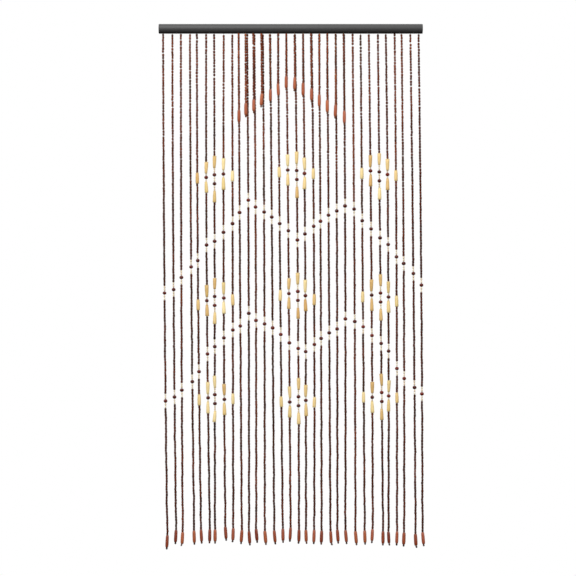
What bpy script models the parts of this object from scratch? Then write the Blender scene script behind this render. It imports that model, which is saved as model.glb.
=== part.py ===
# Bead curtain for a doorway, hanging from its rail
# Long strings of wooden beads hang side by side from a plain bar, with a
# row of short strings in front of the middle ones. Every string ends in a
# drop. Larger beads form two zigzag lines and rows of diamonds.
# Each solid string keeps the true course and the true width of its beads.
# Origin: centre of the rail's flat top face. Front: -Y. Up: +Z. Metres.

import math
from collections import namedtuple
from functools import partial

import bmesh
import bpy
from mathutils import Vector

MM = 0.001

# Rail: a bar with a flat back and a half-round front
RAIL_WIDTH = 1.000
RAIL_HEIGHT = 0.036
RAIL_FLAT = 0.012
RAIL_BACK_Y = RAIL_FLAT / 2
FRONT_STEPS = 20
RAIL_EDGE = 0.0012

# The strings of a row are knotted into a strip, which lies in a groove
GAP = 0.0003
STRIP_DEPTH = 0.007
STRIP_HEIGHT = 0.006
STRIP_OVERHANG = 0.004
LONG_ROW_Y = -0.0015
LONG_ROOT = RAIL_HEIGHT
SHORT_ROW_Y = -0.0130
SHORT_ROOT = 0.0324

# Beads: widths across a string and lengths along it. A round bead's neck and
# shoulder are shares of its radius, and its flat side a share of its width.
STRING_PITCH = 0.03126
DARK_WIDTH = 0.008
PALE_WIDTH = 0.0062
ROUND_WIDTH = 0.0140
ROUND_NECK = 0.92
ROUND_SHOULDER = 0.42
ROUND_FLAT = 0.95
BARREL_WIDE = 0.0138
BARREL_NARROW = 0.0096
BARREL_LENGTH = 0.045
EVEN_BARREL_LENGTH = 0.041
BARREL_CHAMFER = 0.0005

# Pale beads on each side of a round bead in the zigzag lines
PALE_REACH = 0.0272

# Diamonds: distances along a string from the middle of its diamond
CENTRE_ROUND_AT = 0.017
CENTRE_BARREL_AT = 0.0654
SIDE_BARREL_AT = 0.0367

# Plain runs are cut at least this often, so that a string can bend
LONGEST_RUN = 0.165

# A string sways little at its top and most at its hem
SWAY_MIDDLE = 0.55
WAVE_AT_HEM = 0.0006
WAVE_LENGTH = 0.185
WAVE_SPREAD = 0.035
WAVE_DEPTH_SHARE = 0.35
TURN_PER_STRING = 2.4

# Drop and tip bead: distance below the drop's top, and width there
DROP_LENGTH = 0.0460
TIP_LENGTH = 0.0075
Ring = namedtuple("Ring", "below width")
DROP_RINGS = (
    Ring(0.0000, 0.0080),
    Ring(0.0060, 0.0108),
    Ring(0.0280, 0.0124),
    Ring(0.0420, 0.0112),
    Ring(DROP_LENGTH, 0.0060),
    Ring(0.0480, 0.0070),
    Ring(0.0510, 0.0070),
    Ring(DROP_LENGTH + TIP_LENGTH, 0.0036),
)

# Long strings from left to right, in millimetres: how far the hole lies from
# its even place, how far the string has swayed by its middle and by its hem,
# how deep its beads of the upper and lower zigzag and its drop hang, how the
# drop leans in degrees and its tip bead in millimetres, and the depth of the
# middle of each diamond that it crosses
LongString = namedtuple("LongString", "hole middle hem upper lower drop lean tip diamonds")
LONG_STRINGS = (
    LongString(1, 6, 16, 1019, 1428, 1937, -3, 0, ()),
    LongString(5, 5, 14, 1006, 1413, 1917, -3, 0, ()),
    LongString(6, 2, 7, 960, 1387, 1924, -3, -4, ()),
    LongString(9, 6, 16, 920, 1355, 1919, 2, 0, ()),
    LongString(4, 5, 16, 896, 1317, 1915, 3, 0, (584, 1064, 1424)),
    LongString(8, 3, 14, 837, 1250, 1914, -1, -1, (581, 1048, 1416)),
    LongString(7, 2, 3, 823, 1222, 1915, 0, 0, (588, 1049, 1421)),
    LongString(12, 0, 6, 789, 1189, 1904, 4, 0, (568, 1038, 1422)),
    LongString(13, 2, 4, 756, 1159, 1910, -2, -2, (576, 1045, 1420)),
    LongString(6, 6, 12, 714, 1144, 1917, -4, 0, ()),
    LongString(7, 6, 7, 667, 1096, 1922, 4, 0, ()),
    LongString(3, 6, 7, 693, 1123, 1912, 5, 0, ()),
    LongString(4, 6, 7, 712, 1136, 1920, 5, 0, ()),
    LongString(1, 8, 15, 731, 1151, 1918, 5, 0, ()),
    LongString(-1, 9, 18, 756, 1176, 1912, 1, 0, (561, 1028, 1431)),
    LongString(-1, 10, 16, 783, 1208, 1908, -3, 0, (553, 1021, 1432)),
    LongString(1, 11, 15, 818, 1229, 1915, -1, -2, (572, 1030, 1429)),
    LongString(0, 9, 11, 795, 1241, 1916, 2, 2, (566, 1029, 1426)),
    LongString(1, 10, 10, 766, 1214, 1917, -2, 0, (567, 1044, 1433)),
    LongString(-2, 7, 10, 747, 1191, 1919, -2, 0, ()),
    LongString(-2, 7, 12, 724, 1170, 1921, 3, 4, ()),
    LongString(-1, 5, 6, 708, 1155, 1915, 4, 0, ()),
    LongString(-1, 5, 5, 689, 1117, 1917, 5, 0, ()),
    LongString(0, 8, 11, 701, 1127, 1921, 5, 0, ()),
    LongString(-1, 9, 16, 745, 1147, 1919, 2, 0, (566, 1034, 1414)),
    LongString(-1, 11, 15, 776, 1180, 1913, -3, 0, (556, 1027, 1414)),
    LongString(2, 11, 20, 810, 1210, 1922, 0, -1, (577, 1036, 1413)),
    LongString(1, 10, 10, 835, 1239, 1922, 3, 2, (570, 1034, 1409)),
    LongString(3, 8, 9, 882, 1305, 1922, -2, 0, (574, 1050, 1416)),
    LongString(-2, 9, 10, 907, 1343, 1926, -2, 0, ()),
    LongString(0, 13, 20, 945, 1377, 1931, 3, 3, ()),
    LongString(0, 11, 15, 989, 1401, 1925, 5, 0, ()),
)
DIAMOND_CENTRES = (6, 16, 26)

# Short strings, in millimetres: the long string behind, how far the short one
# hangs beside it at the rail and at its drop, how deep its drop hangs, and how
# the drop leans in degrees
ShortString = namedtuple("ShortString", "behind top foot drop lean")
SHORT_STRINGS = (
    ShortString(9, 0, 0, 326, 0),
    ShortString(10, -6, -7, 300, 0),
    ShortString(11, -4, -4, 285, 0),
    ShortString(12, -6, -5, 263, -4),
    ShortString(13, -2, -1, 247, 0),
    ShortString(14, 1, -2, 226, 3),
    ShortString(15, 0, -2, 198, 0),
    ShortString(16, -2, -3, 202, -2),
    ShortString(17, 0, -2, 224, 0),
    ShortString(18, -3, -3, 244, 0),
    ShortString(19, 2, -1, 267, 0),
    ShortString(20, 0, -2, 288, 0),
    ShortString(21, -1, -2, 305, -3),
    ShortString(22, -2, -1, 329, 0),
)

Station = namedtuple("Station", "depth width")


def clear_scene():
    for old in list(bpy.data.objects):
        bpy.data.objects.remove(old)


def finish(name, colour, roughness):
    """A plain Principled material."""
    material = bpy.data.materials.new(name)
    material.use_nodes = True
    shader = material.node_tree.nodes["Principled BSDF"]
    shader.inputs["Base Color"].default_value = (*colour, 1.0)
    shader.inputs["Roughness"].default_value = roughness
    shader.inputs["Metallic"].default_value = 0.0
    return material


def add_object(name, bm, material):
    """Turn a bmesh into a named object with outward faces."""
    bmesh.ops.recalc_face_normals(bm, faces=bm.faces)
    mesh = bpy.data.meshes.new(name)
    bm.to_mesh(mesh)
    bm.free()
    part = bpy.data.objects.new(name, mesh)
    bpy.context.scene.collection.objects.link(part)
    part.data.materials.append(material)
    return part


def box(bm, low, high):
    """A box between two corners."""
    made = bmesh.ops.create_cube(bm, size=1.0)
    for vert in made["verts"]:
        for axis in range(3):
            vert.co[axis] = high[axis] if vert.co[axis] > 0 else low[axis]


def hole_x(index):
    """Where a long string leaves the rail."""
    middle = (len(LONG_STRINGS) - 1) / 2
    return (index - middle) * STRING_PITCH + LONG_STRINGS[index].hole * MM


def long_course(index, depth):
    """Centre of a long string at a depth below the rail's top."""
    row = LONG_STRINGS[index]
    share = (depth - LONG_ROOT) / (row.drop * MM - LONG_ROOT)
    to_middle = share * (1 - share) / (SWAY_MIDDLE * (1 - SWAY_MIDDLE))
    to_hem = share * (share - SWAY_MIDDLE) / (1 - SWAY_MIDDLE)
    sway = (row.middle * to_middle + row.hem * to_hem) * MM
    turn = index * TURN_PER_STRING
    length = WAVE_LENGTH + WAVE_SPREAD * math.sin(3 * turn)
    phase = math.tau * depth / length + turn
    wave = WAVE_AT_HEM * share * math.sin(phase)
    bow = WAVE_AT_HEM * WAVE_DEPTH_SHARE * share * math.cos(phase + turn)
    return Vector((hole_x(index) + sway + wave, LONG_ROW_Y + bow, -depth))


def short_course(row, depth):
    """Centre of a short string at a depth below the rail's top."""
    share = (depth - SHORT_ROOT) / (row.drop * MM - SHORT_ROOT)
    beside = (row.top + (row.foot - row.top) * share) * MM
    x = long_course(row.behind, depth).x + beside
    return Vector((x, SHORT_ROW_Y, -depth))


def round_bead(depth):
    """A round bead between pale ones."""
    neck = ROUND_NECK * ROUND_WIDTH / 2
    shoulder = ROUND_SHOULDER * ROUND_WIDTH / 2
    side = ROUND_FLAT * ROUND_WIDTH
    return [
        Station(depth - neck, PALE_WIDTH),
        Station(depth - shoulder, side),
        Station(depth + shoulder, side),
        Station(depth + neck, PALE_WIDTH),
    ]


def barrel(depth, length, above, top, bottom, below):
    """A cut barrel: the string's width above it, its own two, the one below."""
    start = depth - length / 2
    end = depth + length / 2
    return [
        Station(start, above),
        Station(start + BARREL_CHAMFER, top),
        Station(end - BARREL_CHAMFER, bottom),
        Station(end, below),
    ]


def upper_barrel(depth):
    """Widest at its top, with pale beads below it."""
    return barrel(depth, BARREL_LENGTH, DARK_WIDTH, BARREL_WIDE, BARREL_NARROW, PALE_WIDTH)


def lower_barrel(depth):
    """Widest at its foot, with pale beads above it."""
    return barrel(depth, BARREL_LENGTH, PALE_WIDTH, BARREL_NARROW, BARREL_WIDE, DARK_WIDTH)


def zigzag_bead(depth):
    """A round bead with a run of pale beads on either side."""
    before = [Station(depth - PALE_REACH, DARK_WIDTH)]
    after = [Station(depth + PALE_REACH, DARK_WIDTH)]
    return before + round_bead(depth) + after


def diamond_share(index, depth):
    """What one string carries of a diamond whose middle is at this depth."""
    steps = min(abs(index - centre) for centre in DIAMOND_CENTRES)
    if steps == 2:
        return barrel(depth, EVEN_BARREL_LENGTH, DARK_WIDTH, BARREL_WIDE, BARREL_WIDE, DARK_WIDTH)
    if steps == 1:
        upper = upper_barrel(depth - SIDE_BARREL_AT)
        return upper + round_bead(depth) + lower_barrel(depth + SIDE_BARREL_AT)
    upper = upper_barrel(depth - CENTRE_BARREL_AT) + round_bead(depth - CENTRE_ROUND_AT)
    return upper + round_bead(depth + CENTRE_ROUND_AT) + lower_barrel(depth + CENTRE_BARREL_AT)


def long_stations(index):
    """Widths of a long string down to the top of its drop."""
    row = LONG_STRINGS[index]
    stations = zigzag_bead(row.upper * MM) + zigzag_bead(row.lower * MM)
    for middle in row.diamonds:
        stations += diamond_share(index, middle * MM)
    return sorted(stations)


def with_plain_runs(root, stations, drop_depth):
    """Root to drop, with the cuts that let the long plain runs bend."""
    start = Station(root, DARK_WIDTH)
    full = [start] + stations + [Station(drop_depth, DROP_RINGS[0].width)]
    result = []
    for here, after in zip(full, full[1:]):
        run = after.depth - here.depth
        cuts = max(1, math.ceil(run / LONGEST_RUN))
        for cut in range(1, cuts + 1):
            width = after.width if cut == cuts else DARK_WIDTH
            result.append(Station(here.depth + run * cut / cuts, width))
    return result


def pull_ring(bm, face, centre, width):
    """Pull the foot of a string on to its next ring."""
    old_centre = face.calc_center_median()
    made = bmesh.ops.extrude_discrete_faces(bm, faces=[face])["faces"][0]
    for vert in made.verts:
        side_x = math.copysign(width / 2, vert.co.x - old_centre.x)
        side_y = math.copysign(width / 2, vert.co.y - old_centre.y)
        vert.co = centre + Vector((side_x, side_y, 0))
    return made


def drop_course(drop_top, lean, tip, below):
    """Centre of a leaning drop, and of the tip bead that hangs askew from it."""
    past_drop = max(0.0, below - DROP_LENGTH)
    aside = below * math.tan(math.radians(lean)) + tip * MM * past_drop / TIP_LENGTH
    return drop_top + Vector((aside, 0, -below))


def pull_string(bm, face, stations, course, lean, tip):
    """Draw one string down from its root face, with its drop and tip bead."""
    for station in stations:
        face = pull_ring(bm, face, course(station.depth), station.width)
    drop_top = course(stations[-1].depth)
    for ring in DROP_RINGS[1:]:
        centre = drop_course(drop_top, lean, tip, ring.below)
        face = pull_ring(bm, face, centre, ring.width)


def nearest_face(faces, x):
    """The face whose middle is closest to x."""
    return min(faces, key=lambda face: abs(face.calc_center_median().x - x))


def strip_with_roots(bm, roots, row_y, foot):
    """The strip that a row is knotted into, cut so each string has a root face."""
    margin = DARK_WIDTH / 2 + STRIP_OVERHANG
    low = (roots[0] - margin, row_y - STRIP_DEPTH / 2, foot)
    high = (roots[-1] + margin, row_y + STRIP_DEPTH / 2, foot + STRIP_HEIGHT)
    box(bm, low, high)
    for root in roots:
        for side in (-1, 1):
            everything = bm.verts[:] + bm.edges[:] + bm.faces[:]
            cut = (root + side * DARK_WIDTH / 2, row_y, foot)
            bmesh.ops.bisect_plane(bm, geom=everything, plane_co=cut, plane_no=(1, 0, 0))
    undersides = [face for face in bm.faces if face.calc_center_median().z < foot + GAP]
    return [nearest_face(undersides, root) for root in roots]


def make_long_strings():
    """The full-height row."""
    bm = bmesh.new()
    roots = [hole_x(index) for index in range(len(LONG_STRINGS))]
    faces = strip_with_roots(bm, roots, LONG_ROW_Y, -LONG_ROOT)
    for index, (row, face) in enumerate(zip(LONG_STRINGS, faces)):
        stations = with_plain_runs(LONG_ROOT, long_stations(index), row.drop * MM)
        pull_string(bm, face, stations, partial(long_course, index), row.lean, row.tip)
    return add_object("long_strings", bm, finish("long_string_beads", (0.094, 0.030, 0.021), 0.45))


def make_short_strings():
    """The short row in front of the middle strings."""
    bm = bmesh.new()
    roots = [hole_x(row.behind) + row.top * MM for row in SHORT_STRINGS]
    faces = strip_with_roots(bm, roots, SHORT_ROW_Y, -SHORT_ROOT)
    for row, face in zip(SHORT_STRINGS, faces):
        stations = with_plain_runs(SHORT_ROOT, [], row.drop * MM)
        pull_string(bm, face, stations, partial(short_course, row), row.lean, 0)
    return add_object("short_strings", bm, finish("short_string_beads", (0.094, 0.030, 0.021), 0.45))


def groove_cutter(name, row, row_y, material):
    """A hidden box that cuts the groove for one row's strip, and stays a guide."""
    strip = [vert.co for vert in row.data.vertices if vert.co.z > -RAIL_HEIGHT + GAP]
    reach_y = STRIP_DEPTH / 2 + GAP
    low = (min(point.x for point in strip) - GAP, row_y - reach_y, -2 * RAIL_HEIGHT)
    high = (max(point.x for point in strip) + GAP, row_y + reach_y, max(point.z for point in strip) + GAP)
    bm = bmesh.new()
    box(bm, low, high)
    cutter = add_object(name, bm, material)
    cutter.hide_render = True
    cutter.display_type = "WIRE"
    return cutter


def rail_section(bm):
    """End view of the rail: flat back, half-round front."""
    radius = RAIL_HEIGHT / 2
    points = [(RAIL_BACK_Y, 0.0)]
    for step in range(FRONT_STEPS + 1):
        angle = math.pi * step / FRONT_STEPS
        y = RAIL_BACK_Y - RAIL_FLAT - radius * math.sin(angle)
        points.append((y, radius * math.cos(angle) - radius))
    points.append((RAIL_BACK_Y, -RAIL_HEIGHT))
    verts = [bm.verts.new((-RAIL_WIDTH / 2, y, z)) for y, z in points]
    return bm.faces.new(verts)


def make_rail(rows):
    """The bar, its edges eased and its underside grooved for the strips."""
    bm = bmesh.new()
    section = rail_section(bm)
    swept = bmesh.ops.extrude_face_region(bm, geom=[section], use_keep_orig=True)
    moved = [item for item in swept["geom"] if isinstance(item, bmesh.types.BMVert)]
    bmesh.ops.translate(bm, verts=moved, vec=(RAIL_WIDTH, 0, 0))
    material = finish("rail_paint", (0.060, 0.060, 0.060), 0.42)
    rail = add_object("rail", bm, material)
    rail.data.shade_smooth()
    rail.data.set_sharp_from_angle(angle=math.radians(30))
    ease = rail.modifiers.new("eased_edges", "BEVEL")
    ease.width = RAIL_EDGE
    ease.segments = 2
    ease.limit_method = "ANGLE"
    ease.angle_limit = math.radians(40)
    for name, row, row_y in rows:
        groove = rail.modifiers.new(name, "BOOLEAN")
        groove.operation = "DIFFERENCE"
        groove.object = groove_cutter(name, row, row_y, material)


clear_scene()
make_rail((
    ("long_groove", make_long_strings(), LONG_ROW_Y),
    ("short_groove", make_short_strings(), SHORT_ROW_Y),
))
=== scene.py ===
# Bead curtain for a doorway, hanging from its rail
# Each section makes one kind of piece, in the order in which the curtain is
# strung, from the cords to the beads at their tips.
# Origin: middle of the flat part of the rail's top. Front: -Y. Up: +Z. Metres.

import math
from collections import namedtuple
from functools import partial

import bmesh
import bpy
import numpy as np
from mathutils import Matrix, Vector


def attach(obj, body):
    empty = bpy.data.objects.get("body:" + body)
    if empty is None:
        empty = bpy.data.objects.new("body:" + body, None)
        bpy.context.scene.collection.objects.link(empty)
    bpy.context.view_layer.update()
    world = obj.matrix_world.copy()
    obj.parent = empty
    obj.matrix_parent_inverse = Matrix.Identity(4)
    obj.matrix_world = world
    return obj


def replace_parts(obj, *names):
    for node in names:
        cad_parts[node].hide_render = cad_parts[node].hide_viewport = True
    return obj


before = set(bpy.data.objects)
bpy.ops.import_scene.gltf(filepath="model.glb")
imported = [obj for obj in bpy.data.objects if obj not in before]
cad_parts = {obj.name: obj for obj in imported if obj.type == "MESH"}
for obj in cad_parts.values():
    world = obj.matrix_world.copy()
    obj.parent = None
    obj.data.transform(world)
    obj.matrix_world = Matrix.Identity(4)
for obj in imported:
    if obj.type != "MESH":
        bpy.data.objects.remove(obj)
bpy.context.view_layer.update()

# Cords
# Every string hangs on a thin cord of twisted tan thread. It comes down out of
# its own hole in the rail and ends in a small knot under the tip bead. The
# tables hold how the hand-strung curtain really hangs, string by string.
MM = 0.001
RAIL_HEIGHT = 0.036
STRING_PITCH = 0.03126
LONG_ROW_Y = -0.0015
LONG_ROOT = RAIL_HEIGHT
SHORT_ROW_Y = -0.0130
# The short row's holes open higher, where the rail's front curves up
SHORT_ROOT = 0.0346

# Millimetres: how far the hole lies from its even place, how far the string
# has swayed by its middle and by its hem, how deep its beads of the upper and
# lower zigzag and its drop hang, how the drop leans in degrees and its tip
# bead in millimetres, and the depth of the middle of each diamond it crosses
LongString = namedtuple("LongString", "hole middle hem upper lower drop lean tip diamonds")
LONG_STRINGS = (
    LongString(1, 6, 16, 1019, 1428, 1937, -3, 0, ()),
    LongString(5, 5, 14, 1006, 1413, 1917, -3, 0, ()),
    LongString(6, 2, 7, 960, 1387, 1924, -3, -4, ()),
    LongString(9, 6, 16, 920, 1355, 1919, 2, 0, ()),
    LongString(4, 5, 16, 896, 1317, 1915, 3, 0, (584, 1064, 1424)),
    LongString(8, 3, 14, 837, 1250, 1914, -1, -1, (581, 1048, 1416)),
    LongString(7, 2, 3, 823, 1222, 1915, 0, 0, (588, 1049, 1421)),
    LongString(12, 0, 6, 789, 1189, 1904, 4, 0, (568, 1038, 1422)),
    LongString(13, 2, 4, 756, 1159, 1910, -2, -2, (576, 1045, 1420)),
    LongString(6, 6, 12, 714, 1144, 1917, -4, 0, ()),
    LongString(7, 6, 7, 667, 1096, 1922, 4, 0, ()),
    LongString(3, 6, 7, 693, 1123, 1912, 5, 0, ()),
    LongString(4, 6, 7, 712, 1136, 1920, 5, 0, ()),
    LongString(1, 8, 15, 731, 1151, 1918, 5, 0, ()),
    LongString(-1, 9, 18, 756, 1176, 1912, 1, 0, (561, 1028, 1431)),
    LongString(-1, 10, 16, 783, 1208, 1908, -3, 0, (553, 1021, 1432)),
    LongString(1, 11, 15, 818, 1229, 1915, -1, -2, (572, 1030, 1429)),
    LongString(0, 9, 11, 795, 1241, 1916, 2, 2, (566, 1029, 1426)),
    LongString(1, 10, 10, 766, 1214, 1917, -2, 0, (567, 1044, 1433)),
    LongString(-2, 7, 10, 747, 1191, 1919, -2, 0, ()),
    LongString(-2, 7, 12, 724, 1170, 1921, 3, 4, ()),
    LongString(-1, 5, 6, 708, 1155, 1915, 4, 0, ()),
    LongString(-1, 5, 5, 689, 1117, 1917, 5, 0, ()),
    LongString(0, 8, 11, 701, 1127, 1921, 5, 0, ()),
    LongString(-1, 9, 16, 745, 1147, 1919, 2, 0, (566, 1034, 1414)),
    LongString(-1, 11, 15, 776, 1180, 1913, -3, 0, (556, 1027, 1414)),
    LongString(2, 11, 20, 810, 1210, 1922, 0, -1, (577, 1036, 1413)),
    LongString(1, 10, 10, 835, 1239, 1922, 3, 2, (570, 1034, 1409)),
    LongString(3, 8, 9, 882, 1305, 1922, -2, 0, (574, 1050, 1416)),
    LongString(-2, 9, 10, 907, 1343, 1926, -2, 0, ()),
    LongString(0, 13, 20, 945, 1377, 1931, 3, 3, ()),
    LongString(0, 11, 15, 989, 1401, 1925, 5, 0, ()),
)
# The strings, counted from 0, that run down the middles of the diamonds
DIAMOND_CENTRES = (6, 16, 26)

# The long string behind, counted from 0, then in millimetres how far the short
# one hangs beside it at the rail and at its drop, and how deep its drop hangs,
# and in degrees how the drop leans
ShortString = namedtuple("ShortString", "behind top foot drop lean")
SHORT_STRINGS = (
    ShortString(9, 0, 0, 326, 0),
    ShortString(10, -6, -7, 300, 0),
    ShortString(11, -4, -4, 285, 0),
    ShortString(12, -6, -5, 263, -4),
    ShortString(13, -2, -1, 247, 0),
    ShortString(14, 1, -2, 226, 3),
    ShortString(15, 0, -2, 198, 0),
    ShortString(16, -2, -3, 202, -2),
    ShortString(17, 0, -2, 224, 0),
    ShortString(18, -3, -3, 244, 0),
    ShortString(19, 2, -1, 267, 0),
    ShortString(20, 0, -2, 288, 0),
    ShortString(21, -1, -2, 305, -3),
    ShortString(22, -2, -1, 329, 0),
)

# A string sways little at its top and most at its hem, in a slight wave with
# small kinks where its beads sit askew
SWAY_MIDDLE = 0.55
WAVE_AT_HEM = 0.0006
WAVE_LENGTH = 0.185
WAVE_SPREAD = 0.035
WAVE_DEPTH_SHARE = 0.35
TURN_PER_STRING = 2.4
KINK_AT_HEM = 0.0005
KINK_LENGTH = 0.058
KINK_CHANGE = 0.310
DROP_LENGTH = 0.0460
TIP_LENGTH = 0.0075
TIP_FOOT = DROP_LENGTH + TIP_LENGTH

CORD_RADIUS = 0.0007
CORD_STEP = 0.01
CORD_IN_HOLE = 0.006
KNOT_RADIUS = 0.0012

Strand = namedtuple("Strand", "course root row")


def hole_x(index):
    """Where a long string leaves the rail."""
    middle = (len(LONG_STRINGS) - 1) / 2
    return (index - middle) * STRING_PITCH + LONG_STRINGS[index].hole * MM


def long_course(index, depth):
    """Centre of a long string at a depth below the rail's top."""
    row = LONG_STRINGS[index]
    share = (depth - LONG_ROOT) / (row.drop * MM - LONG_ROOT)
    to_middle = share * (1 - share) / (SWAY_MIDDLE * (1 - SWAY_MIDDLE))
    to_hem = share * (share - SWAY_MIDDLE) / (1 - SWAY_MIDDLE)
    sway = (row.middle * to_middle + row.hem * to_hem) * MM
    turn = index * TURN_PER_STRING
    length = WAVE_LENGTH + WAVE_SPREAD * math.sin(3 * turn)
    phase = math.tau * depth / length + turn
    wave = WAVE_AT_HEM * share * math.sin(phase)
    bow = WAVE_AT_HEM * WAVE_DEPTH_SHARE * share * math.cos(phase + turn)
    kink = KINK_AT_HEM * share * math.sin(math.tau * depth / KINK_LENGTH + 2 * turn)
    kink *= math.sin(math.tau * depth / KINK_CHANGE + 3 * turn)
    return Vector((hole_x(index) + sway + wave + kink, LONG_ROW_Y + bow, -depth))


def short_course(row, depth):
    """Centre of a short string at a depth below the rail's top."""
    share = (depth - SHORT_ROOT) / (row.drop * MM - SHORT_ROOT)
    beside = (row.top + (row.foot - row.top) * share) * MM
    return Vector((long_course(row.behind, depth).x + beside, SHORT_ROW_Y, -depth))


def tip_course(strand, below):
    """Centre of a leaning drop, and of the tip bead askew under it."""
    tip = getattr(strand.row, "tip", 0)
    past_drop = max(0.0, below - DROP_LENGTH)
    aside = below * math.tan(math.radians(strand.row.lean)) + tip * MM * past_drop / TIP_LENGTH
    return strand.course(strand.row.drop * MM) + Vector((aside, 0, -below))


def tint(red, green, blue):
    """A colour as it looks, 0 to 255, turned into the shader's own scale."""
    looks = [channel / 255 for channel in (red, green, blue)]
    light = [((look + 0.055) / 1.055) ** 2.4 if look > 0.04 else look / 12.92 for look in looks]
    return [*light, 1.0]


def plain_finish(name):
    """A new material, with its node tree and its shader."""
    material = bpy.data.materials.new(name)
    material.use_nodes = True
    tree = material.node_tree
    return material, tree, tree.nodes["Principled BSDF"]


def cord_finish():
    """Tan thread with the slanting lines of its twist, darker in its grooves as painted shade."""
    material, tree, shader = plain_finish("twisted_cord")
    where = tree.nodes.new("ShaderNodeTexCoord")
    twist = tree.nodes.new("ShaderNodeTexWave")
    twist.bands_direction = "DIAGONAL"
    twist.inputs["Scale"].default_value = 420
    twist.inputs["Distortion"].default_value = 1.2
    # Painted shade: the wave that raises the twist's ridges also darkens its grooves
    shade = tree.nodes.new("ShaderNodeValToRGB")
    shade.color_ramp.elements[0].color = tint(118, 86, 58)
    shade.color_ramp.elements[1].color = tint(196, 164, 124)
    ridge = tree.nodes.new("ShaderNodeBump")
    ridge.inputs["Strength"].default_value = 0.7
    ridge.inputs["Distance"].default_value = 0.0002
    tree.links.new(where.outputs["Object"], twist.inputs["Vector"])
    tree.links.new(twist.outputs["Fac"], shade.inputs["Fac"])
    tree.links.new(shade.outputs["Color"], shader.inputs["Base Color"])
    tree.links.new(twist.outputs["Fac"], ridge.inputs["Height"])
    tree.links.new(ridge.outputs["Normal"], shader.inputs["Normal"])
    shader.inputs["Roughness"].default_value = 0.85
    return material


def cord_path(strand):
    """Points from inside the rail's hole to the end of the tip bead."""
    drop = strand.row.drop * MM
    steps = math.ceil((drop - strand.root) / CORD_STEP)
    start = strand.course(strand.root) + Vector((0, 0, CORD_IN_HOLE))
    depths = [strand.root + (drop - strand.root) * step / steps for step in range(steps + 1)]
    hanging = [strand.course(depth) for depth in depths]
    return [start] + hanging + [tip_course(strand, below) for below in (DROP_LENGTH, TIP_FOOT)]


def make_cords(name, strands, node):
    """The cords of one row as one mesh, each with its end knot."""
    curve = bpy.data.curves.new(name, "CURVE")
    curve.dimensions = "3D"
    curve.bevel_depth = CORD_RADIUS
    curve.bevel_resolution = 1
    curve.use_fill_caps = True
    for strand in strands:
        path = cord_path(strand)
        spline = curve.splines.new("POLY")
        spline.points.add(len(path) - 1)
        for spot, point in zip(path, spline.points):
            point.co = (*spot, 1)
    holder = bpy.data.objects.new(name, curve)
    bpy.context.scene.collection.objects.link(holder)
    depsgraph = bpy.context.evaluated_depsgraph_get()
    tubes = bpy.data.meshes.new_from_object(holder.evaluated_get(depsgraph))
    bpy.data.objects.remove(holder)
    bm = bmesh.new()
    bm.from_mesh(tubes)
    for strand in strands:
        made = bmesh.ops.create_icosphere(bm, subdivisions=1, radius=KNOT_RADIUS)
        bmesh.ops.translate(bm, verts=made["verts"], vec=tip_course(strand, TIP_FOOT))
    bm.to_mesh(tubes)
    bm.free()
    tubes.name = name
    piece = bpy.data.objects.new(name, tubes)
    bpy.context.scene.collection.objects.link(piece)
    tubes.shade_smooth()
    tubes.materials.clear()
    tubes.materials.append(cord_material)
    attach(piece, "root")
    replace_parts(piece, node)


cord_material = cord_finish()
long_strands = [
    Strand(partial(long_course, index), LONG_ROOT, row) for index, row in enumerate(LONG_STRINGS)
]
short_strands = [Strand(partial(short_course, row), SHORT_ROOT, row) for row in SHORT_STRINGS]
make_cords("long_cords", long_strands, "long_strings")
make_cords("short_cords", short_strands, "short_strings")

# Rail
# A wooden bar with a flat back and a half-round front, sanded smooth and
# painted dark grey. One hole for each string is drilled up into its underside.
RAIL_WIDTH = 1.000
RAIL_BACK_Y = 0.006
RAIL_FRONT_Y = -0.006
FRONT_STEPS = 32
RAIL_EDGE = 0.0022
RAIL_SHARP_FROM = math.radians(35)
HOLE_RADIUS = 0.0017
HOLE_DEPTH = 0.010
HOLE_SIDES = 14


def rail_finish():
    """Satin paint, with fine brush lines along the bar and faint grain."""
    material, tree, shader = plain_finish("grey_rail_paint")
    where = tree.nodes.new("ShaderNodeTexCoord")
    along = tree.nodes.new("ShaderNodeMapping")
    along.inputs["Scale"].default_value = (14, 900, 900)
    lines = tree.nodes.new("ShaderNodeTexNoise")
    lines.inputs["Scale"].default_value = 1.0
    lines.inputs["Detail"].default_value = 5
    lines.inputs["Roughness"].default_value = 0.6
    shade = tree.nodes.new("ShaderNodeValToRGB")
    shade.color_ramp.elements[0].position = 0.3
    shade.color_ramp.elements[0].color = tint(56, 56, 56)
    shade.color_ramp.elements[1].position = 0.7
    shade.color_ramp.elements[1].color = tint(62, 62, 62)
    gloss = tree.nodes.new("ShaderNodeMapRange")
    gloss.inputs["To Min"].default_value = 0.46
    gloss.inputs["To Max"].default_value = 0.60
    relief = tree.nodes.new("ShaderNodeBump")
    relief.inputs["Strength"].default_value = 0.15
    relief.inputs["Distance"].default_value = 0.0002
    tree.links.new(where.outputs["Object"], along.inputs["Vector"])
    tree.links.new(along.outputs["Vector"], lines.inputs["Vector"])
    tree.links.new(lines.outputs["Fac"], shade.inputs["Fac"])
    tree.links.new(lines.outputs["Fac"], gloss.inputs["Value"])
    tree.links.new(lines.outputs["Fac"], relief.inputs["Height"])
    tree.links.new(shade.outputs["Color"], shader.inputs["Base Color"])
    tree.links.new(gloss.outputs["Result"], shader.inputs["Roughness"])
    tree.links.new(relief.outputs["Normal"], shader.inputs["Normal"])
    shader.inputs["Specular IOR Level"].default_value = 0.35
    return material


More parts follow.
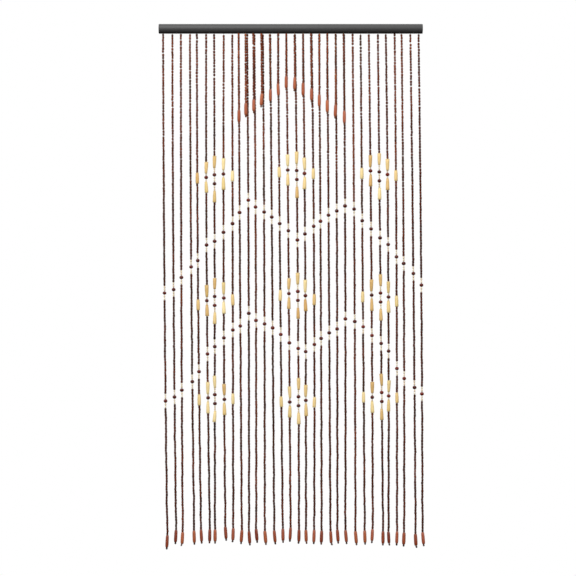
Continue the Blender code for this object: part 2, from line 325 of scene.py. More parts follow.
def rail_bar():
    """The bar before drilling, with its end and back edges eased."""
    radius = RAIL_HEIGHT / 2
    bm = bmesh.new()
    crest = bm.verts.new((-RAIL_WIDTH / 2, RAIL_FRONT_Y, 0))
    centre = (0, RAIL_FRONT_Y, -radius)
    bmesh.ops.spin(bm, geom=[crest], cent=centre, axis=(1, 0, 0), angle=math.pi, steps=FRONT_STEPS)
    bm.verts.ensure_lookup_table()
    outline = list(bm.verts)
    outline.append(bm.verts.new((-RAIL_WIDTH / 2, RAIL_BACK_Y, -RAIL_HEIGHT)))
    outline.append(bm.verts.new((-RAIL_WIDTH / 2, RAIL_BACK_Y, 0)))
    end = bm.faces.new(outline)
    swept = bmesh.ops.extrude_face_region(bm, geom=[end], use_keep_orig=True)
    moved = [item for item in swept["geom"] if isinstance(item, bmesh.types.BMVert)]
    bmesh.ops.translate(bm, verts=moved, vec=(RAIL_WIDTH, 0, 0))
    around_ends = [edge for edge in bm.edges if edge.verts[0].co.x == edge.verts[1].co.x]
    back = [
        edge for edge in bm.edges
        if edge not in around_ends and edge.verts[0].co.y == edge.verts[1].co.y > 0
    ]
    bmesh.ops.bevel(
        bm, geom=around_ends + back, offset=RAIL_EDGE, affect="EDGES", segments=3, profile=0.5, material=-1
    )
    bmesh.ops.recalc_face_normals(bm, faces=bm.faces)
    return bm


def make_rail(strands):
    """Drill the bar under every string."""
    mesh = bpy.data.meshes.new("rail_bar")
    bm = rail_bar()
    bm.to_mesh(mesh)
    bm.free()
    bar = bpy.data.objects.new("rail_bar", mesh)
    bpy.context.scene.collection.objects.link(bar)
    drills = bpy.data.meshes.new("drills")
    bm = bmesh.new()
    for strand in strands:
        made = bmesh.ops.create_cone(
            bm, cap_ends=True, segments=HOLE_SIDES,
            radius1=HOLE_RADIUS, radius2=HOLE_RADIUS, depth=2 * HOLE_DEPTH,
        )
        bmesh.ops.translate(bm, verts=made["verts"], vec=strand.course(strand.root))
    bm.to_mesh(drills)
    bm.free()
    tool = bpy.data.objects.new("drills", drills)
    bpy.context.scene.collection.objects.link(tool)
    cut = bar.modifiers.new("holes", "BOOLEAN")
    cut.operation = "DIFFERENCE"
    cut.object = tool
    depsgraph = bpy.context.evaluated_depsgraph_get()
    bar.data = bpy.data.meshes.new_from_object(bar.evaluated_get(depsgraph))
    bar.modifiers.clear()
    bpy.data.objects.remove(tool)
    bar.data.shade_smooth()
    bar.data.set_sharp_from_angle(angle=RAIL_SHARP_FROM)
    bar.data.materials.clear()
    bar.data.materials.append(rail_finish())
    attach(bar, "root")
    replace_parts(bar, "rail")


make_rail(long_strands + short_strands)

# Small dark beads
# Oval wooden beads fill every string between the larger ones. They hang a
# little apart near the rail and press together lower down, and their stain
# drifts between red-brown and grey-brown along each string. Near the rail they
# are also painted lighter: painted light from above.
DARK_WIDTH = 0.0087
DARK_LENGTH = 0.0102
DARK_RINGS = ((0.64, 1.00), (0.92, 0.84), (1.00, 0.45))
FIRST_BEAD_GAP = (0.0005, 0.003)
DARK_LENGTH_SPREAD = 0.035
BEAD_WIDTH_SPREAD = 0.04
BEAD_ASIDE = 0.00026
BEAD_LEAN = 0.03
BEAD_SHARP_FROM = math.radians(50)

# The pitch, the girth and the share of it all that is gaps change from the rail
# down to TIGHT_FROM, and then stay
DARK_PITCH_TOP = 0.01107
DARK_PITCH_LOW = 0.01057
GIRTH_TOP = 0.95
SLACK_TOP = 0.10
SLACK_LOW = 0.008
TIGHT_FROM = 0.75

# A bead's tone is 0 in the darkest stain and 1 in the lightest, and its hue is
# 0 in red-brown and 1 in grey-brown. Both are drawn for each string, for every
# step along it, and for each bead. The tone is also raised towards the rail:
# painted light, so that the upper beads look more strongly lit.
LONG_TONE = 0.31
SHORT_TONE = 0.43
PAINTED_LIGHT_AT_TOP = 0.21
TONE_BY_STRING = 0.06
TONE_BY_STEP = 0.08
HUE_MIDDLE = 0.50
HUE_BY_STRING = 0.16
HUE_BY_STEP = 0.20
STAIN_STEP = 0.04
STAIN_BY_BEAD = 0.045

# Sizes and places of the larger beads, which the dark ones make room for
ROUND_WIDTH = 0.0150
BARREL_LENGTH = 0.045
EVEN_BARREL_LENGTH = 0.041
PALE_REACH = 0.0272
CENTRE_ROUND_AT = 0.017
CENTRE_BARREL_AT = 0.0654
SIDE_BARREL_AT = 0.0367

Fitting = namedtuple("Fitting", "kind top foot")
# Width and length are shares of the turned bead's own, and turn is its angle
# about the cord
Place = namedtuple("Place", "middle heading width length turn tone hue")


def fitting(kind, depth, length):
    """A fitting given by the depth of its middle."""
    return Fitting(kind, depth - length / 2, depth + length / 2)


def diamond_fittings(index, depth):
    """What one string carries of a diamond whose middle is at this depth."""
    steps = min(abs(index - centre) for centre in DIAMOND_CENTRES)
    if steps == 2:
        return [fitting("even barrel", depth, EVEN_BARREL_LENGTH)]
    barrel_at = SIDE_BARREL_AT if steps == 1 else CENTRE_BARREL_AT
    rounds = (depth,) if steps == 1 else (depth - CENTRE_ROUND_AT, depth + CENTRE_ROUND_AT)
    upper = fitting("upper barrel", depth - barrel_at, BARREL_LENGTH)
    lower = fitting("lower barrel", depth + barrel_at, BARREL_LENGTH)
    made = [upper] + [fitting("round", spot, ROUND_WIDTH) for spot in rounds] + [lower]
    links = [Fitting("pale run", here.foot, after.top) for here, after in zip(made, made[1:])]
    return made + links


def fittings_of(index):
    """Everything on a long string but its dark beads, from the rail down."""
    row = LONG_STRINGS[index]
    made = []
    for depth in (row.upper * MM, row.lower * MM):
        middle = fitting("round", depth, ROUND_WIDTH)
        made += [Fitting("pale run", depth - PALE_REACH, middle.top), middle]
        made += [Fitting("pale run", middle.foot, depth + PALE_REACH)]
    for depth in row.diamonds:
        made += diamond_fittings(index, depth * MM)
    return sorted(made, key=lambda item: item.top)


def heading(strand, depth):
    """Which way the cord runs at a depth."""
    return (strand.course(depth + MM) - strand.course(depth - MM)).normalized()


def dark_pitch(depth):
    """The beads are spaced wider near the rail."""
    share = min(1.0, depth / TIGHT_FROM)
    return DARK_PITCH_TOP + (DARK_PITCH_LOW - DARK_PITCH_TOP) * share


def dark_girth(depth):
    """They are slimmer there too."""
    return GIRTH_TOP + (1 - GIRTH_TOP) * min(1.0, depth / TIGHT_FROM)


def dark_run(strand, top, foot, chance, stain):
    """Places of the dark beads that fill one stretch of a string."""
    count = max(1, round((foot - top) / dark_pitch((top + foot) / 2)))
    about = top + (foot - top) * (np.arange(count) + 0.5) / count
    slack = SLACK_TOP + (SLACK_LOW - SLACK_TOP) * np.minimum(1.0, about / TIGHT_FROM)
    lengths = (1 - slack) * chance.normal(1.0, DARK_LENGTH_SPREAD, count)
    gaps = slack * chance.exponential(1.0, count)
    fill = (foot - top) / (lengths.sum() + gaps.sum())
    lengths *= fill
    ends = top + np.cumsum(lengths + gaps * fill)
    places = []
    for end, length in zip(ends, lengths):
        depth = end - length / 2
        aside = Vector((*chance.normal(0, BEAD_ASIDE, 2), 0))
        lean = Vector((*chance.normal(0, BEAD_LEAN, 2), 0))
        tone, hue = stain(depth) + chance.normal(0, STAIN_BY_BEAD, 2)
        places.append(Place(
            strand.course(depth) + aside, (heading(strand, depth) + lean).normalized(),
            chance.normal(dark_girth(depth), BEAD_WIDTH_SPREAD), length / DARK_LENGTH,
            chance.uniform(0, math.tau), np.clip(tone, 0, 1), np.clip(hue, 0, 1),
        ))
    return places


def string_stain_and_light(chance, length, tone):
    """Tone and hue at any depth of one string, both drifting down it, with the tone raised towards the
    rail as painted light.
    """
    steps = np.arange(0, length + 2 * STAIN_STEP, STAIN_STEP)
    tones = chance.normal(tone, TONE_BY_STRING) + chance.normal(0, TONE_BY_STEP, len(steps))
    # Painted light: the tone rises towards the rail, so the upper beads look more strongly lit
    tones += PAINTED_LIGHT_AT_TOP * (1 - np.minimum(1.0, steps / TIGHT_FROM))
    hues = chance.normal(HUE_MIDDLE, HUE_BY_STRING) + chance.normal(0, HUE_BY_STEP, len(steps))
    return lambda depth: np.array((np.interp(depth, steps, tones), np.interp(depth, steps, hues)))


def dark_places(strand, fittings, chance, tone):
    """All dark beads of one string, between its fittings."""
    stain = string_stain_and_light(chance, strand.row.drop * MM, tone)
    edges = [strand.root + chance.uniform(*FIRST_BEAD_GAP)]
    for item in fittings:
        edges += [item.top, item.foot]
    edges.append(strand.row.drop * MM)
    places = []
    for top, foot in zip(edges[::2], edges[1::2]):
        if foot - top > DARK_LENGTH / 2:
            places += dark_run(strand, top, foot, chance, stain)
    return places


def turned(profile, sides, bored=False):
    """A bead as a lathe turns it: pairs of radius and height, spun round the cord."""
    bm = bmesh.new()
    verts = [bm.verts.new((radius, 0, height)) for radius, height in profile]
    pairs = list(zip(verts, verts[1:]))
    if bored:
        pairs.append((verts[-1], verts[0]))
    edges = [bm.edges.new(pair) for pair in pairs]
    bmesh.ops.spin(
        bm, geom=verts + edges, cent=(0, 0, 0), axis=(0, 0, 1), angle=math.tau, steps=sides, use_merge=True
    )
    rims = [edge for edge in bm.edges if edge.is_boundary]
    if rims:
        bmesh.ops.holes_fill(bm, edges=rims, sides=0)
    bmesh.ops.recalc_face_normals(bm, faces=bm.faces)
    return bm


def strung(name, bead, places, finish):
    """One piece made of a copy of the turned bead at every place."""
    bead.verts.index_update()
    form = np.array([vert.co for vert in bead.verts])
    sizes = np.array([len(face.verts) for face in bead.faces])
    corners = np.array([vert.index for face in bead.faces for vert in face.verts])
    bead.free()
    count, points = len(places), len(form)
    middle = np.array([place.middle for place in places])[:, None, :]
    down = np.array([place.heading for place in places])
    side = np.cross(down, (0, 1, 0))
    side /= np.linalg.norm(side, axis=1)[:, None]
    front = np.cross(side, down)
    turn = np.array([place.turn for place in places])[:, None]
    width = np.array([place.width for place in places])[:, None]
    length = np.array([place.length for place in places])[:, None]
    across = (form[:, 0] * np.cos(turn) - form[:, 1] * np.sin(turn)) * width
    through = (form[:, 0] * np.sin(turn) + form[:, 1] * np.cos(turn)) * width
    along = form[:, 2] * length
    spots = middle + across[..., None] * side[:, None] + through[..., None] * -front[:, None]
    spots = spots - along[..., None] * down[:, None]
    mesh = bpy.data.meshes.new(name)
    mesh.vertices.add(count * points)
    mesh.vertices.foreach_set("co", spots.astype(np.float32).ravel())
    mesh.loops.add(count * len(corners))
    steps = np.arange(count)[:, None]
    mesh.loops.foreach_set("vertex_index", (corners + steps * points).ravel())
    mesh.polygons.add(count * len(sizes))
    starts = np.cumsum(sizes) - sizes
    mesh.polygons.foreach_set("loop_start", (starts + steps * len(corners)).ravel())
    mesh.update(calc_edges=True)
    reach = np.abs(form[:, 2]) / np.abs(form[:, 2]).max()
    for label, values in (
        ("tone", np.repeat([place.tone for place in places], points)),
        ("hue", np.repeat([place.hue for place in places], points)),
        ("end", np.tile(reach, count)),
    ):
        mesh.attributes.new(label, "FLOAT", "POINT").data.foreach_set("value", values.astype(np.float32))
    mesh.shade_smooth()
    mesh.set_sharp_from_angle(angle=BEAD_SHARP_FROM)
    mesh.materials.append(finish)
    piece = bpy.data.objects.new(name, mesh)
    bpy.context.scene.collection.objects.link(piece)
    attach(piece, "root")
    return piece


# The grain is read this far along the noise from hue 0 to hue 1, and a bead's
# ends are painted darker from this share of its half length: painted shade
# where the beads meet
GRAIN_SHIFT = 57
END_FROM = 0.72


def fibre_and_end_shade_group():
    """Fine grain that runs down a bead, different on every bead, and the mask for the painted shade at its
    ends.
    """
    group = bpy.data.node_groups.new("fibre_and_end_shade", "ShaderNodeTree")
    sockets = group.interface
    sockets.new_socket("Across", in_out="INPUT", socket_type="NodeSocketFloat").default_value = 900
    sockets.new_socket("Along", in_out="INPUT", socket_type="NodeSocketFloat").default_value = 60
    sockets.new_socket("Fibre", in_out="OUTPUT", socket_type="NodeSocketFloat")
    sockets.new_socket("End", in_out="OUTPUT", socket_type="NodeSocketFloat")
    nodes, links = group.nodes, group.links
    inside = nodes.new("NodeGroupInput")
    outside = nodes.new("NodeGroupOutput")
    where = nodes.new("ShaderNodeTexCoord")
    stretch = nodes.new("ShaderNodeCombineXYZ")
    scaled = nodes.new("ShaderNodeVectorMath")
    scaled.operation = "MULTIPLY"
    own = nodes.new("ShaderNodeAttribute")
    own.attribute_name = "hue"
    shift = nodes.new("ShaderNodeMath")
    shift.operation = "MULTIPLY"
    shift.inputs[1].default_value = GRAIN_SHIFT
    fibre = nodes.new("ShaderNodeTexNoise")
    fibre.noise_dimensions = "4D"
    fibre.inputs["Scale"].default_value = 1.0
    fibre.inputs["Detail"].default_value = 3
    fibre.inputs["Roughness"].default_value = 0.6
    end = nodes.new("ShaderNodeAttribute")
    end.attribute_name = "end"
    steep = nodes.new("ShaderNodeMapRange")
    steep.interpolation_type = "SMOOTHSTEP"
    steep.inputs["From Min"].default_value = END_FROM
    steep.inputs["From Max"].default_value = 1.0
    links.new(inside.outputs["Across"], stretch.inputs["X"])
    links.new(inside.outputs["Across"], stretch.inputs["Y"])
    links.new(inside.outputs["Along"], stretch.inputs["Z"])
    links.new(where.outputs["Object"], scaled.inputs[0])
    links.new(stretch.outputs["Vector"], scaled.inputs[1])
    links.new(scaled.outputs["Vector"], fibre.inputs["Vector"])
    links.new(own.outputs["Fac"], shift.inputs[0])
    links.new(shift.outputs["Value"], fibre.inputs["W"])
    links.new(fibre.outputs["Fac"], outside.inputs["Fibre"])
    links.new(end.outputs["Fac"], steep.inputs["Value"])
    links.new(steep.outputs["Result"], outside.inputs["End"])
    return group


fibre_and_end_shade = fibre_and_end_shade_group()
Stain = namedtuple("Stain", "level colour")
OTHER_AT_MOST = 0.85
SMOOTHER_BY = 0.08
ROUGHER_BY = 0.12
COAT_ROUGHNESS = 0.22


def stained_wood(
    name, stains, other, other_share, fibre_share, across, along,
    roughness, relief, end_painted_shade, specular=0.5, coat=0.0,
):
    """Turned wood: a ramp of stains read by each bead's tone and its grain.

    Hues in the top other_share of their range turn to the other colour. The
    grain has the scales across and along, shifts the tone by fibre_share in
    all and stands out by relief. The ends' colour is multiplied by the end
    factor: painted shade where the beads meet.
    """
    material, tree, shader = plain_finish(name)
    grain = tree.nodes.new("ShaderNodeGroup")
    grain.node_tree = fibre_and_end_shade
    grain.inputs["Across"].default_value = across
    grain.inputs["Along"].default_value = along
    tone = tree.nodes.new("ShaderNodeAttribute")
    tone.attribute_name = "tone"
    hue = tree.nodes.new("ShaderNodeAttribute")
    hue.attribute_name = "hue"
    level = tree.nodes.new("ShaderNodeMath")
    level.operation = "MULTIPLY_ADD"
    level.inputs[1].default_value = fibre_share
    centred = tree.nodes.new("ShaderNodeMath")
    centred.operation = "SUBTRACT"
    centred.inputs[1].default_value = fibre_share / 2
    ramp = tree.nodes.new("ShaderNodeValToRGB")
    marks = ramp.color_ramp.elements
    marks.remove(marks[1])
    marks[0].position = stains[0].level
    marks[0].color = stains[0].colour
    for stain in stains[1:]:
        marks.new(stain.level).color = stain.colour
    share = tree.nodes.new("ShaderNodeMapRange")
    share.inputs["From Min"].default_value = 1 - other_share
    share.inputs["From Max"].default_value = 1.0
    share.inputs["To Max"].default_value = OTHER_AT_MOST
    blend = tree.nodes.new("ShaderNodeMix")
    blend.data_type = "RGBA"
    blend.inputs["B"].default_value = other
    # Painted shade: each bead's ends are darkened where it meets its neighbours
    darker = tree.nodes.new("ShaderNodeMix")
    darker.data_type = "RGBA"
    darker.blend_type = "MULTIPLY"
    darker.inputs["B"].default_value = (end_painted_shade, end_painted_shade, end_painted_shade, 1)
    sheen = tree.nodes.new("ShaderNodeMapRange")
    sheen.inputs["To Min"].default_value = roughness - SMOOTHER_BY
    sheen.inputs["To Max"].default_value = roughness + ROUGHER_BY
    bump = tree.nodes.new("ShaderNodeBump")
    bump.inputs["Strength"].default_value = relief
    bump.inputs["Distance"].default_value = 0.0003
    tree.links.new(grain.outputs["Fibre"], level.inputs[0])
    tree.links.new(tone.outputs["Fac"], centred.inputs[0])
    tree.links.new(centred.outputs["Value"], level.inputs[2])
    tree.links.new(level.outputs["Value"], ramp.inputs["Fac"])
    tree.links.new(hue.outputs["Fac"], share.inputs["Value"])
    tree.links.new(share.outputs["Result"], blend.inputs["Factor"])
    tree.links.new(ramp.outputs["Color"], blend.inputs["A"])
    tree.links.new(blend.outputs["Result"], darker.inputs["A"])
    tree.links.new(grain.outputs["End"], darker.inputs["Factor"])
    tree.links.new(darker.outputs["Result"], shader.inputs["Base Color"])
    tree.links.new(grain.outputs["Fibre"], sheen.inputs["Value"])
    tree.links.new(sheen.outputs["Result"], shader.inputs["Roughness"])
    tree.links.new(grain.outputs["Fibre"], bump.inputs["Height"])
    tree.links.new(bump.outputs["Normal"], shader.inputs["Normal"])
    shader.inputs["Specular IOR Level"].default_value = specular
    shader.inputs["Coat Weight"].default_value = coat
    shader.inputs["Coat Roughness"].default_value = COAT_ROUGHNESS
    return material


def oval_bead(length, width, rings, sides):
    """A small bead, straight in the middle and rounded to its two ends.

    Its rings are pairs: the share of its radius, and that of its half length.
    """
    top = [(width / 2 * wide, length / 2 * high) for wide, high in rings]
    return turned(top + [(wide, -high) for wide, high in reversed(top)], sides)


dark_stain = stained_wood(
    "dark_bead_stain",
    (
        Stain(0.00, tint(43, 18, 10)),
        Stain(0.35, tint(86, 35, 18)),
        Stain(0.70, tint(132, 62, 34)),
        Stain(1.00, tint(182, 110, 66)),
    ),
    other=tint(64, 40, 28), other_share=0.50, fibre_share=0.35, across=900, along=60,
    roughness=0.6, relief=0.35, end_painted_shade=0.55, specular=0.15,
)
STRINGS_A_PIECE = 8
long_chance = np.random.default_rng(seed=11)
long_dark = [
    dark_places(strand, fittings_of(index), long_chance, LONG_TONE)
    for index, strand in enumerate(long_strands)
]
for first in range(0, len(long_dark), STRINGS_A_PIECE):
    label = f"long_dark_beads_{first // STRINGS_A_PIECE + 1}"
    together = sum(long_dark[first:first + STRINGS_A_PIECE], [])
    bead = oval_bead(DARK_LENGTH, DARK_WIDTH, DARK_RINGS, sides=8)
    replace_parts(strung(label, bead, together, dark_stain), "long_strings")
short_chance = np.random.default_rng(seed=12)
short_dark = sum([dark_places(strand, [], short_chance, SHORT_TONE) for strand in short_strands], [])
bead = oval_bead(DARK_LENGTH, DARK_WIDTH, DARK_RINGS, sides=8)
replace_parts(strung("short_dark_beads", bead, short_dark, dark_stain), "short_strings")

# Cream beads
# The same oval beads in cream lacquer. Two stand above and two below every
# round bead of the zigzag lines, and they link the large beads of a diamond.
PALE_WIDTH = 0.0068
PALE_LENGTH = 0.0098
PALE_RINGS = ((0.42, 1.00), (0.78, 0.84), (0.98, 0.42))
PALE_FILL = 0.97


def pale_places(strand, fittings, chance):
    """Cream beads that share each stretch evenly."""
    places = []
    for item in fittings:
        if item.kind != "pale run":
            continue
        count = max(1, round((item.foot - item.top) / PALE_LENGTH))
        length = (item.foot - item.top) / count
        for step in range(count):
            depth = item.top + length * (step + 0.5)
            lean = Vector((*chance.normal(0, BEAD_LEAN, 2), 0))
            places.append(Place(
                strand.course(depth), (heading(strand, depth) + lean).normalized(),
                chance.normal(1.0, BEAD_WIDTH_SPREAD), length / PALE_LENGTH * PALE_FILL,
                chance.uniform(0, math.tau), chance.uniform(0, 1), chance.uniform(0, 1),
            ))
    return places


pale_lacquer = stained_wood(
    "cream_bead_lacquer",
    (
        Stain(0.00, tint(208, 188, 154)),
        Stain(0.60, tint(224, 208, 180)),
        Stain(1.00, tint(234, 222, 200)),
    ),
    other=tint(214, 184, 154), other_share=0.2, fibre_share=0.2, across=700, along=50,
    roughness=0.36, relief=0.15, end_painted_shade=0.8,
)
pale_chance = np.random.default_rng(seed=13)
all_pale = sum([
    pale_places(strand, fittings_of(index), pale_chance) for index, strand in enumerate(long_strands)
], [])
pale_bead = oval_bead(PALE_LENGTH, PALE_WIDTH, PALE_RINGS, sides=10)
strung("cream_beads", pale_bead, all_pale, pale_lacquer)

# Round beads
# Turned balls of hardwood, a little flattened at the bore, dipped in maroon
# lacquer. They draw the two zigzag lines and the hearts of the diamonds.
BORE_RADIUS = 0.0012
ROUND_HEIGHT = 0.0140
ROUND_STEPS = 10
LIP_RADIUS = 1.6 * BORE_RADIUS
BORE_EDGE_SHARE = 0.94
FITTING_LEAN = 0.02
FITTING_WIDTH_SPREAD = 0.03
FITTING_LENGTH_SPREAD = 0.02


def fitting_places(kind, chance, flip=False):
    """Places of the long strings' fittings of one kind, upside down if flipped."""
    places = []
    for index, strand in enumerate(long_strands):
        for item in fittings_of(index):
            if item.kind != kind:
                continue
            depth = (item.top + item.foot) / 2
            way = heading(strand, depth) + Vector((*chance.normal(0, FITTING_LEAN, 2), 0))
            places.append(Place(
                strand.course(depth), way.normalized() * (-1 if flip else 1),
                chance.normal(1.0, FITTING_WIDTH_SPREAD), chance.normal(1.0, FITTING_LENGTH_SPREAD),
                chance.uniform(0, math.tau), chance.uniform(0, 1), chance.uniform(0, 1),
            ))
    return places


def round_bead():
    """A ball with a through bore, a little sunk round each end of it."""
    half = ROUND_HEIGHT / 2
    radius = ROUND_WIDTH / 2
    lip = math.asin(LIP_RADIUS / radius)
    profile = [(BORE_RADIUS, half * BORE_EDGE_SHARE)]
    for step in range(ROUND_STEPS + 1):
        angle = lip + (math.pi - 2 * lip) * step / ROUND_STEPS
        profile.append((radius * math.sin(angle), half * math.cos(angle)))
    profile.append((BORE_RADIUS, -half * BORE_EDGE_SHARE))
    return turned(profile, sides=20, bored=True)


maroon_lacquer = stained_wood(
    "maroon_bead_lacquer",
    (
        Stain(0.00, tint(72, 18, 8)),
        Stain(0.60, tint(92, 24, 10)),
        Stain(1.00, tint(114, 34, 18)),
    ),
    other=tint(84, 32, 20), other_share=0.3, fibre_share=0.3, across=600, along=80,
    roughness=0.4, relief=0.1, end_painted_shade=0.6, specular=0.2, coat=0.15,
)
round_places = fitting_places("round", np.random.default_rng(seed=14))
strung("round_beads", round_bead(), round_places, maroon_lacquer)

# Barrels
# Pale bamboo-coloured wood, turned like a long barrel and bored. Eight stand
# round each diamond: those above and below its round beads taper inwards.
BARREL_WIDE = 0.0142
BARREL_NARROW = 0.0096
BARREL_ROUNDING = 0.0016
CORNER_IN = BARREL_ROUNDING * 0.3
# At this share of its half length a barrel's width is so much of its rim's and
# so much of its belly's
BULGE_AT = 0.45
RIM_PART = 0.45
BELLY_PART = 0.55


def barrel_bead(length, top_width, middle_width, foot_width):
    """A bored barrel between three widths, its ends rounded over."""
    half = length / 2
    top, middle, foot = top_width / 2, middle_width / 2, foot_width / 2
    profile = [
        (BORE_RADIUS, half),
        (top - BARREL_ROUNDING, half),
        (top - CORNER_IN, half - CORNER_IN),
        (top, half - BARREL_ROUNDING),
        (top * RIM_PART + middle * BELLY_PART, half * BULGE_AT),
        (middle, 0),
        (foot * RIM_PART + middle * BELLY_PART, -half * BULGE_AT),
        (foot, -half + BARREL_ROUNDING),
        (foot - CORNER_IN, -half + CORNER_IN),
        (foot - BARREL_ROUNDING, -half),
        (BORE_RADIUS, -half),
    ]
    return turned(profile, sides=20, bored=True)


barrel_wood = stained_wood(
    "pale_barrel_wood",
    (
        Stain(0.00, tint(204, 158, 90)),
        Stain(0.40, tint(228, 194, 128)),
        Stain(1.00, tint(244, 222, 162)),
    ),
    other=tint(220, 192, 122), other_share=0.25, fibre_share=0.7, across=500, along=14,
    roughness=0.4, relief=0.4, end_painted_shade=0.75,
)
barrel_chance = np.random.default_rng(seed=15)
tapering = barrel_bead(
    BARREL_LENGTH, top_width=BARREL_WIDE, middle_width=BARREL_WIDE * 0.92, foot_width=BARREL_NARROW
)
tapering_places = fitting_places("upper barrel", barrel_chance)
tapering_places += fitting_places("lower barrel", barrel_chance, flip=True)
strung("tapering_barrels", tapering, tapering_places, barrel_wood)
even = barrel_bead(
    EVEN_BARREL_LENGTH,
    top_width=BARREL_WIDE * 0.8, middle_width=BARREL_WIDE * 0.94, foot_width=BARREL_WIDE * 0.9,
)
even_places = fitting_places("even barrel", barrel_chance)
strung("even_barrels", even, even_places, barrel_wood)

# Drops
# Long turned drops of red-brown and orange-brown stained wood close every
# string, each leaning its own way. A drop is narrow at its top, widest below
# its middle and drawn in at its foot.
DROP_WIDTH = 0.0128
DROP_SHAPE = (
    (0.00, 0.68), (0.03, 0.80), (0.12, 0.91), (0.26, 0.96), (0.44, 0.98), (0.62, 1.00),
    (0.78, 0.98), (0.90, 0.90), (0.96, 0.79), (1.00, 0.62),
)
DROP_SPREAD = 0.03
HEM_DROP_TONES = (0.06, 0.70)
ARCH_DROP_TONES = (0.52, 0.82)


def bored_bead(length, width, shape, sides):
    """A bead with a through bore, from pairs: how far down it, and how wide there."""
    outside = [(width / 2 * wide, length * (0.5 - down)) for down, wide in shape]
    rims = [(BORE_RADIUS, length / 2), (BORE_RADIUS, -length / 2)]
    return turned(rims[:1] + outside + rims[1:], sides, bored=True)


def hanging_places(strands, top, foot, chance, spread, tones):
    """Places between two depths below the tops of the strands' drops."""
    places = []
    for strand in strands:
        start, end = tip_course(strand, top), tip_course(strand, foot)
        places.append(Place(
            (start + end) / 2, (end - start).normalized(),
            chance.normal(1.0, spread), chance.normal(1.0, spread / 2),
            chance.uniform(0, math.tau), chance.uniform(*tones), chance.uniform(0, 1),
        ))
    return places


drop_stain = stained_wood(
    "stained_drop_wood",
    (
        Stain(0.00, tint(112, 36, 16)),
        Stain(0.45, tint(148, 66, 34)),
        Stain(1.00, tint(192, 108, 64)),
    ),
    other=tint(172, 90, 62), other_share=0.3, fibre_share=0.8, across=450, along=18,
    roughness=0.38, relief=0.35, end_painted_shade=0.7,
)
drop_chance = np.random.default_rng(seed=16)
drop_places = hanging_places(long_strands, 0, DROP_LENGTH, drop_chance, DROP_SPREAD, HEM_DROP_TONES)
drop_places += hanging_places(short_strands, 0, DROP_LENGTH, drop_chance, DROP_SPREAD, ARCH_DROP_TONES)
drop_bead = bored_bead(DROP_LENGTH, DROP_WIDTH, DROP_SHAPE, sides=16)
strung("drops", drop_bead, drop_places, drop_stain)

# Tip beads
# One last small bead, stained olive-brown, hangs a little askew under every
# drop and keeps it on the cord.
TIP_WIDTH = 0.0074
TIP_SHAPE = ((0.00, 0.66), (0.19, 0.92), (0.50, 1.00), (0.81, 0.90), (1.00, 0.60))
TIP_SPREAD = 0.05
HEM_TIP_TONES = (0.1, 0.8)
ARCH_TIP_TONES = (0.75, 1.0)

tip_stain = stained_wood(
    "tip_bead_stain",
    (
        Stain(0.00, tint(42, 24, 14)),
        Stain(0.50, tint(64, 38, 24)),
        Stain(1.00, tint(124, 70, 46)),
    ),
    other=tint(64, 54, 40), other_share=0.3, fibre_share=0.4, across=800, along=60,
    roughness=0.5, relief=0.3, end_painted_shade=0.7, specular=0.2,
)
tip_chance = np.random.default_rng(seed=17)
tip_places = hanging_places(long_strands, DROP_LENGTH, TIP_FOOT, tip_chance, TIP_SPREAD, HEM_TIP_TONES)
tip_places += hanging_places(short_strands, DROP_LENGTH, TIP_FOOT, tip_chance, TIP_SPREAD, ARCH_TIP_TONES)
tip_bead = bored_bead(TIP_LENGTH, TIP_WIDTH, TIP_SHAPE, sides=12)
strung("tip_beads", tip_bead, tip_places, tip_stain)

# Studio
# A white floor under a white sky that lights softly from above, a softbox up to
# the left, and a long lens straight in front of the curtain.
FLOOR_Z = -2.06
FLOOR_RADIUS = 8.0
MM_A_PIXEL = 3.790
PICTURE_PIXELS = 576
PICTURE_CENTRE = Vector((-0.0102, 0, -1.0000))
CAMERA_AWAY = 10.0
SENSOR_WIDTH = 36.0
HORIZON_FROM = -0.08
HORIZON_TO = 0.10
LIGHT_FROM_BELOW = 0.08
LIGHT_FROM_ABOVE = 1.7
FLOOR_GREY = 0.05
SOFTBOX_WIDTH = 2.4
SOFTBOX_HEIGHT = 1.4
SOFTBOX_WATTS = 115
SOFTBOX_PLACE = (-1.0, -2.9, 2.3)
SOFTBOX_TARGET = (0, 0, -0.9)


def lit_white(nodes, links, seen, unseen):
    """Seen by the camera as plain white, and by everything else as it should light."""
    path = nodes.new("ShaderNodeLightPath")
    mix = nodes.new("ShaderNodeMixShader")
    links.new(path.outputs["Is Camera Ray"], mix.inputs["Fac"])
    links.new(unseen, mix.inputs[1])
    links.new(seen, mix.inputs[2])
    return mix


def make_world():
    """Even light from the upper half of the sky, and little from below."""
    world = bpy.data.worlds.new("studio")
    bpy.context.scene.world = world
    world.use_nodes = True
    nodes, links = world.node_tree.nodes, world.node_tree.links
    nodes.clear()
    white = nodes.new("ShaderNodeBackground")
    dome = nodes.new("ShaderNodeBackground")
    way = nodes.new("ShaderNodeTexCoord")
    parts = nodes.new("ShaderNodeSeparateXYZ")
    fall = nodes.new("ShaderNodeMapRange")
    fall.inputs["From Min"].default_value = HORIZON_FROM
    fall.inputs["From Max"].default_value = HORIZON_TO
    fall.inputs["To Min"].default_value = LIGHT_FROM_BELOW
    fall.inputs["To Max"].default_value = LIGHT_FROM_ABOVE
    white.inputs["Color"].default_value = (1, 1, 1, 1)
    links.new(way.outputs["Generated"], parts.inputs["Vector"])
    links.new(parts.outputs["Z"], fall.inputs["Value"])
    links.new(fall.outputs["Result"], dome.inputs["Strength"])
    mix = lit_white(nodes, links, white.outputs["Background"], dome.outputs["Background"])
    out = nodes.new("ShaderNodeOutputWorld")
    links.new(mix.outputs["Shader"], out.inputs["Surface"])


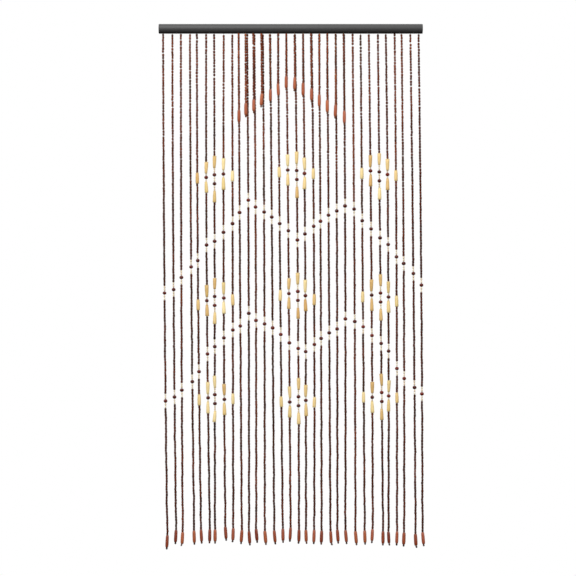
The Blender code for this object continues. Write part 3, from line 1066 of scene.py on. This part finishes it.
def make_floor():
    """A wide round floor, open to the camera from below."""
    mesh = bpy.data.meshes.new("floor")
    bm = bmesh.new()
    bmesh.ops.create_circle(bm, cap_ends=True, segments=64, radius=FLOOR_RADIUS)
    bmesh.ops.translate(bm, verts=bm.verts, vec=(0, 0, FLOOR_Z))
    bm.to_mesh(mesh)
    bm.free()
    floor = bpy.data.objects.new("floor", mesh)
    bpy.context.scene.collection.objects.link(floor)
    material = bpy.data.materials.new("floor_white")
    material.use_nodes = True
    nodes, links = material.node_tree.nodes, material.node_tree.links
    nodes.clear()
    white = nodes.new("ShaderNodeEmission")
    dull = nodes.new("ShaderNodeBsdfDiffuse")
    dull.inputs["Color"].default_value = (FLOOR_GREY, FLOOR_GREY, FLOOR_GREY, 1)
    mix = lit_white(nodes, links, white.outputs["Emission"], dull.outputs["BSDF"])
    side = nodes.new("ShaderNodeNewGeometry")
    clear = nodes.new("ShaderNodeBsdfTransparent")
    open_below = nodes.new("ShaderNodeMixShader")
    out = nodes.new("ShaderNodeOutputMaterial")
    links.new(side.outputs["Backfacing"], open_below.inputs["Fac"])
    links.new(mix.outputs["Shader"], open_below.inputs[1])
    links.new(clear.outputs["BSDF"], open_below.inputs[2])
    links.new(open_below.outputs["Shader"], out.inputs["Surface"])
    mesh.materials.append(material)


def aim(holder, spot, target):
    """Put a light or camera in its place, turned to its target."""
    holder.location = spot
    holder.rotation_euler = (Vector(target) - Vector(spot)).to_track_quat("-Z", "Y").to_euler()
    bpy.context.scene.collection.objects.link(holder)


def make_softbox():
    """One large soft light, above the camera's line and to its left."""
    light = bpy.data.lights.new("softbox", "AREA")
    light.shape = "RECTANGLE"
    light.size = SOFTBOX_WIDTH
    light.size_y = SOFTBOX_HEIGHT
    light.energy = SOFTBOX_WATTS
    aim(bpy.data.objects.new("softbox", light), SOFTBOX_PLACE, SOFTBOX_TARGET)


def make_camera():
    """Straight in front of the middle of the picture, which fixes the lens."""
    lens = bpy.data.cameras.new("camera")
    lens.sensor_width = SENSOR_WIDTH
    lens.lens = SENSOR_WIDTH * CAMERA_AWAY / (MM_A_PIXEL * MM * PICTURE_PIXELS)
    lens.clip_end = 100
    camera = bpy.data.objects.new("camera", lens)
    aim(camera, PICTURE_CENTRE - Vector((0, CAMERA_AWAY, 0)), PICTURE_CENTRE)
    bpy.context.scene.camera = camera


make_world()
make_floor()
make_softbox()
make_camera()
bpy.context.scene.view_settings.view_transform = "Standard"
